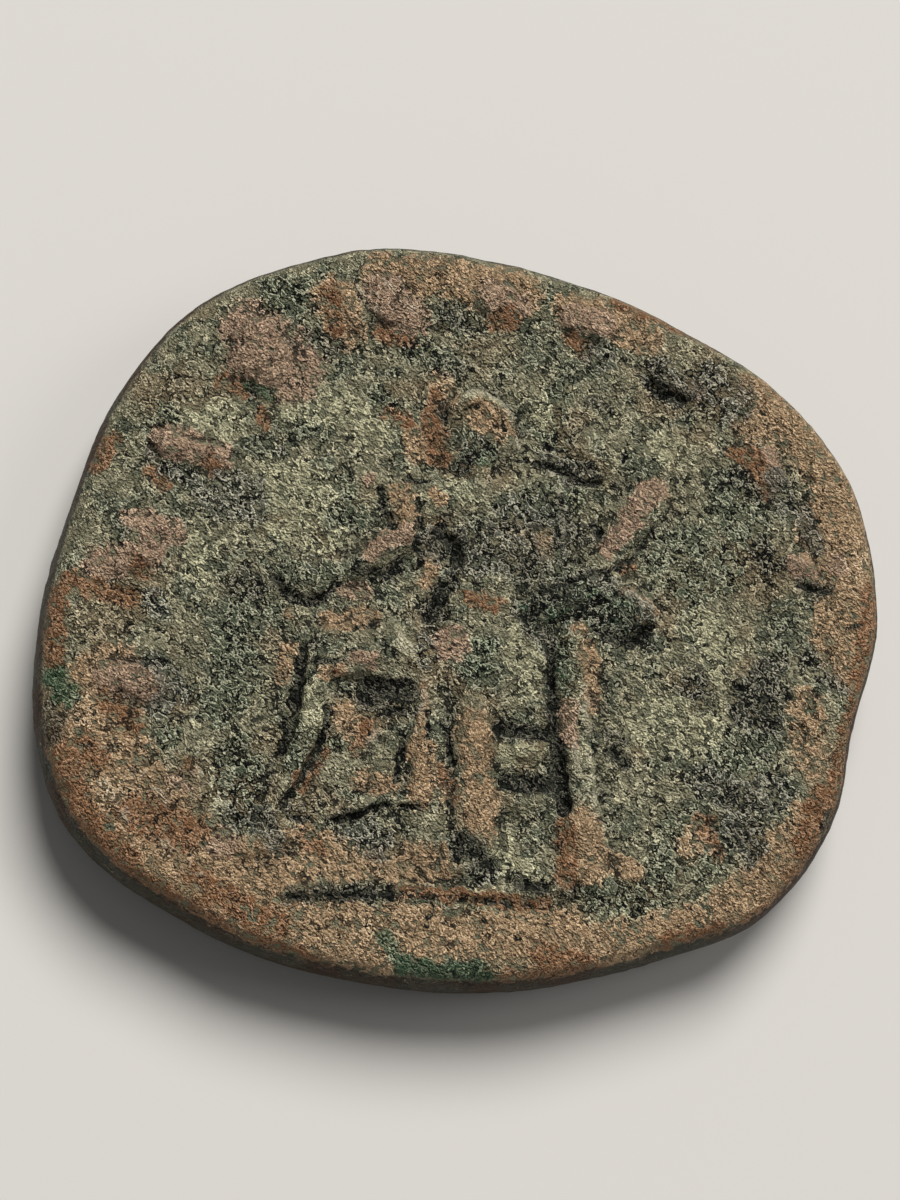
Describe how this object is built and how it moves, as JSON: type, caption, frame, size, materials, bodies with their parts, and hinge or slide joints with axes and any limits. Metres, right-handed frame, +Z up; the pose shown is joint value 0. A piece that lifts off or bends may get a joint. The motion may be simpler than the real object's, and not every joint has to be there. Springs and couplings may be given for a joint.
{
  "type": "sestertius coin",
  "caption": "Worn ancient brass coin with a seated draped figure in relief on one face and a laurelled head in profile on the other.",
  "frame": {"origin": "on the surface that the coin lies on, below the middle of its outline", "axes": "+Z up through the thickness, out of the face with the seated figure; +X to the right of that figure, along the longer side of the flan's box; +Y towards the figure's head"},
  "size_m": [0.0308, 0.0274, 0.0041],
  "materials": {
    "patinated_brass": "corroded, granular olive and grey-green patina with rusty brown crust on the rim and high points"
  },
  "bodies": {
    "root": {"coin": "patinated_brass"}
  },
  "joints": []
}
